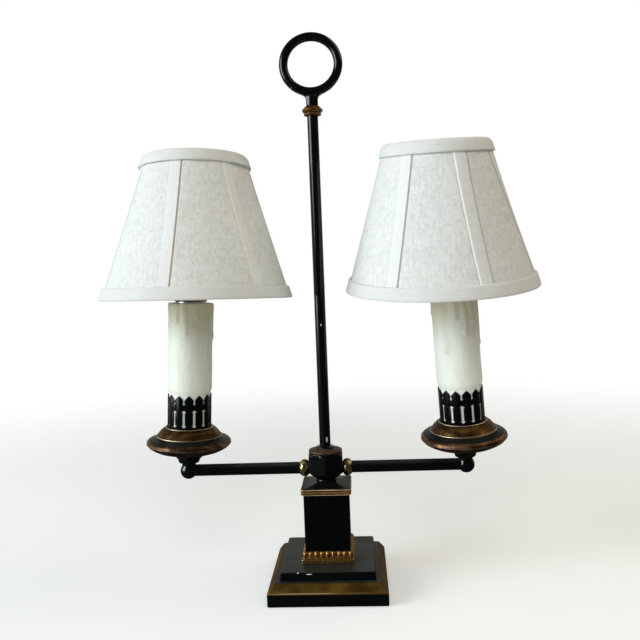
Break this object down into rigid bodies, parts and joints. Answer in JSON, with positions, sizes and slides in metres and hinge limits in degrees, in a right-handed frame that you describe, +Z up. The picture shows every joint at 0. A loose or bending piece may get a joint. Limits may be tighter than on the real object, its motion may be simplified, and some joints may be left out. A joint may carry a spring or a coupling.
{
  "type": "bouillotte lamp",
  "caption": "Bouillotte table lamp: square stepped black and gilt foot, short column, turning arms with picket candle cups, clip-on linen shades and a ring finial.",
  "frame": {"origin": "centre of the foot's underside, where the felt meets the table", "axes": "+Z up along the rod, +X along the right arm, -Y towards the viewer of the picture"},
  "size_m": [0.3735, 0.1727, 0.474],
  "materials": {
    "black_lacquer": "glossy black lacquer, chipped at edges",
    "old_gilding": "worn dark gilding",
    "copper_gilt": "coppery gilding",
    "aged_bronze": "brown bronze with rubbed edges",
    "polished_brass": "polished",
    "plain_brass": "turned, unlacquered",
    "zinc_steel": "zinc plated",
    "cast_weight": "rough cast",
    "bushing_rubber": "matt black",
    "socket_plastic": "moulded, dark",
    "candle_wax": "waxy cream with runs",
    "cap_aluminium": "rolled thread",
    "bulb_plastic": "satin white",
    "frosted_glass": "frosted white",
    "shade_wire": "plated wire",
    "shade_linen": "slubby linen over a white lining",
    "trim_linen": "folded bias strips",
    "green_felt": "pressed felt"
  },
  "bodies": {
    "base": {"felt_pad": "green_felt", "lower_tier": "black_lacquer", "upper_tier": "black_lacquer", "ballast_weight": "cast_weight", "base_washer": "zinc_steel", "base_nut": "plain_brass", "cord_bushing": "bushing_rubber", "bead_moulding": "old_gilding", "column": "black_lacquer", "column_cap": "black_lacquer", "neck_ring": "black_lacquer", "centre_pipe": "plain_brass"},
    "mast": {"hub_body": "black_lacquer", "hub_disc": "aged_bronze", "rod_foot_ring": "black_lacquer", "centre_rod": "black_lacquer", "finial_collar": "copper_gilt", "left_arm_collar": "polished_brass", "right_arm_collar": "polished_brass"},
    "ring": {"ring_finial": "black_lacquer"},
    "left_arm": {"left_arm_tube": "black_lacquer", "left_ball_elbow": "black_lacquer", "left_pan_nipple": "plain_brass", "left_drip_dish": "aged_bronze", "left_pan_dome": "old_gilding", "left_gallery": "black_lacquer", "left_socket_bracket": "zinc_steel", "left_bracket_nut": "plain_brass", "left_socket_body": "socket_plastic", "left_socket_shell": "plain_brass"},
    "left_sleeve": {"left_candle_sleeve": "candle_wax"},
    "left_bulb": {"left_bulb_cap": "cap_aluminium", "left_bulb_collar": "bulb_plastic", "left_bulb_globe": "frosted_glass"},
    "left_clip": {"left_shade_clip": "shade_wire"},
    "left_shade": {"left_shade_frame": "shade_wire", "left_lower_hoop": "shade_wire", "left_shade_fabric": "shade_linen", "left_top_trim": "trim_linen", "left_bottom_trim": "trim_linen"},
    "right_arm": {"right_arm_tube": "black_lacquer", "right_ball_elbow": "black_lacquer", "right_pan_nipple": "plain_brass", "right_drip_dish": "aged_bronze", "right_pan_dome": "old_gilding", "right_gallery": "black_lacquer", "right_socket_bracket": "zinc_steel", "right_bracket_nut": "plain_brass", "right_socket_body": "socket_plastic", "right_socket_shell": "plain_brass"},
    "right_sleeve": {"right_candle_sleeve": "candle_wax"},
    "right_bulb": {"right_bulb_cap": "cap_aluminium", "right_bulb_collar": "bulb_plastic", "right_bulb_globe": "frosted_glass"},
    "right_clip": {"right_shade_clip": "shade_wire"},
    "right_shade": {"right_shade_frame": "shade_wire", "right_lower_hoop": "shade_wire", "right_shade_fabric": "shade_linen", "right_top_trim": "trim_linen", "right_bottom_trim": "trim_linen"}
  },
  "joints": [
    {"name": "mast_turn", "type": "hinge", "parent": "base", "child": "mast", "pos_m": [0, 0, 0.08945], "axis": [0, 0, 1], "range_deg": [-170, 170]},
    {"name": "ring_turn", "type": "hinge", "parent": "mast", "child": "ring", "pos_m": [0, 0, 0.40965], "axis": [0, 0, 1], "continuous": true},
    {"name": "left_arm_turn", "type": "hinge", "parent": "mast", "child": "left_arm", "pos_m": [-0.0143, 0, 0.09825], "axis": [1, 0, 0], "range_deg": [-19.8, 20.2]},
    {"name": "left_sleeve_lift", "type": "slide", "parent": "left_arm", "child": "left_sleeve", "axis": [0.0489, 0.0035, 0.9988], "range_m": [0, 0.008]},
    {"name": "left_bulb_out", "type": "slide", "parent": "left_arm", "child": "left_bulb", "axis": [0.0489, 0.0035, 0.9988], "range_m": [0, 0.028]},
    {"name": "left_clip_lift", "type": "slide", "parent": "left_bulb", "child": "left_clip", "axis": [0.0175, 0.0175, 0.9997], "range_m": [0, 0.11]},
    {"name": "left_shade_tilt", "type": "hinge", "parent": "left_clip", "child": "left_shade", "pos_m": [-0.10963, 0.00179, 0.34826], "axis": [0.9998, -0.0001, -0.0175], "range_deg": [-10, 10]},
    {"name": "right_arm_turn", "type": "hinge", "parent": "mast", "child": "right_arm", "pos_m": [0.0143, 0, 0.09825], "axis": [1, 0, 0], "range_deg": [-24.4, 15.6]},
    {"name": "right_sleeve_lift", "type": "slide", "parent": "right_arm", "child": "right_sleeve", "axis": [-0.0489, -0.0766, 0.9959], "range_m": [0, 0.008]},
    {"name": "right_bulb_out", "type": "slide", "parent": "right_arm", "child": "right_bulb", "axis": [-0.0489, -0.0766, 0.9959], "range_m": [0, 0.028]},
    {"name": "right_clip_lift", "type": "slide", "parent": "right_bulb", "child": "right_clip", "axis": [-0.0174, -0.1357, 0.9906], "range_m": [0, 0.11]},
    {"name": "right_shade_tilt", "type": "hinge", "parent": "right_clip", "child": "right_shade", "pos_m": [0.10963, -0.02304, 0.34712], "axis": [0.9998, -0.0013, 0.0174], "range_deg": [-10, 10]}
  ]
}
